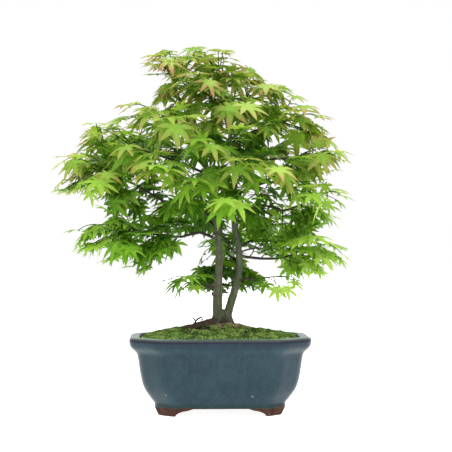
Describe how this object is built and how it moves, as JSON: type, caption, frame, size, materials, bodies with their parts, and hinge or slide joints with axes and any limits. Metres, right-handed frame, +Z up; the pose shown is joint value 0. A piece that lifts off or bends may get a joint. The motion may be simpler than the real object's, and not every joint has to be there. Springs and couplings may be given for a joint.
{
  "type": "bonsai tree in a pot",
  "caption": "Two-stemmed Japanese maple bonsai with green palmate leaves, moss and a blue-grey glazed pot with canted corners.",
  "frame": {"origin": "on the ground under the middle of the whole tree's bounding box", "axes": "+X along the pot's length to the viewer's right, +Y to the back, +Z up"},
  "size_m": [0.346, 0.2422, 0.4037],
  "materials": {
    "pot_glaze": "gloss",
    "screen_plastic": "matte",
    "clip_wire": "satin",
    "gravel": "matte",
    "soil": "matte",
    "moss": "matte",
    "dead_wood": "matte",
    "bark": "matte",
    "leaf": "satin",
    "young_leaf": "satin"
  },
  "bodies": {
    "root": {"drain_mesh_left": "screen_plastic", "drain_mesh_right": "screen_plastic", "drainage_gravel": "gravel", "fallen_twig": "dead_wood", "mesh_clip_left": "clip_wire", "mesh_clip_right": "clip_wire", "moss": "moss", "pot": "pot_glaze", "shoot_apex_1": "young_leaf", "shoot_apex_2": "young_leaf", "shoot_apex_3": "young_leaf", "shoot_back_mid_1": "young_leaf", "shoot_front_low_1": "leaf", "shoot_front_low_2": "leaf", "shoot_front_mid_1": "leaf", "shoot_front_mid_2": "leaf", "shoot_front_up_1": "young_leaf", "shoot_front_up_2": "young_leaf", "shoot_front_up_3": "young_leaf", "shoot_leader_1": "young_leaf", "shoot_leader_2": "young_leaf", "shoot_left_back_1": "young_leaf", "shoot_left_high_1": "young_leaf", "shoot_left_high_2": "young_leaf", "shoot_left_high_3": "young_leaf", "shoot_left_low_1": "leaf", "shoot_left_low_2": "leaf", "shoot_left_low_3": "leaf", "shoot_left_low_back_1": "leaf", "shoot_left_low_back_2": "leaf", "shoot_left_mid_1": "leaf", "shoot_left_mid_2": "leaf", "shoot_left_mid_3": "leaf", "shoot_left_mid_front_1": "leaf", "shoot_left_mid_front_2": "leaf", "shoot_left_up_front_1": "young_leaf", "shoot_left_up_front_2": "young_leaf", "shoot_low_back_1": "leaf", "shoot_low_left_1": "leaf", "shoot_low_right_1": "leaf", "shoot_right_back_1": "leaf", "shoot_right_back_2": "leaf", "shoot_right_front_1": "leaf", "shoot_right_front_2": "leaf", "shoot_right_high_1": "young_leaf", "shoot_right_high_2": "young_leaf", "shoot_right_low_1": "leaf", "shoot_right_low_2": "leaf", "shoot_right_low_3": "leaf", "shoot_right_low_back_1": "leaf", "shoot_right_low_back_2": "leaf", "shoot_right_low_mid_1": "leaf", "shoot_right_low_mid_2": "leaf", "shoot_right_mid_1": "leaf", "shoot_right_mid_2": "leaf", "shoot_right_up_back_1": "young_leaf", "shoot_upper_right_1": "young_leaf", "shoot_upper_right_2": "young_leaf", "soil": "soil", "tree_wood": "bark"}
  },
  "joints": []
}
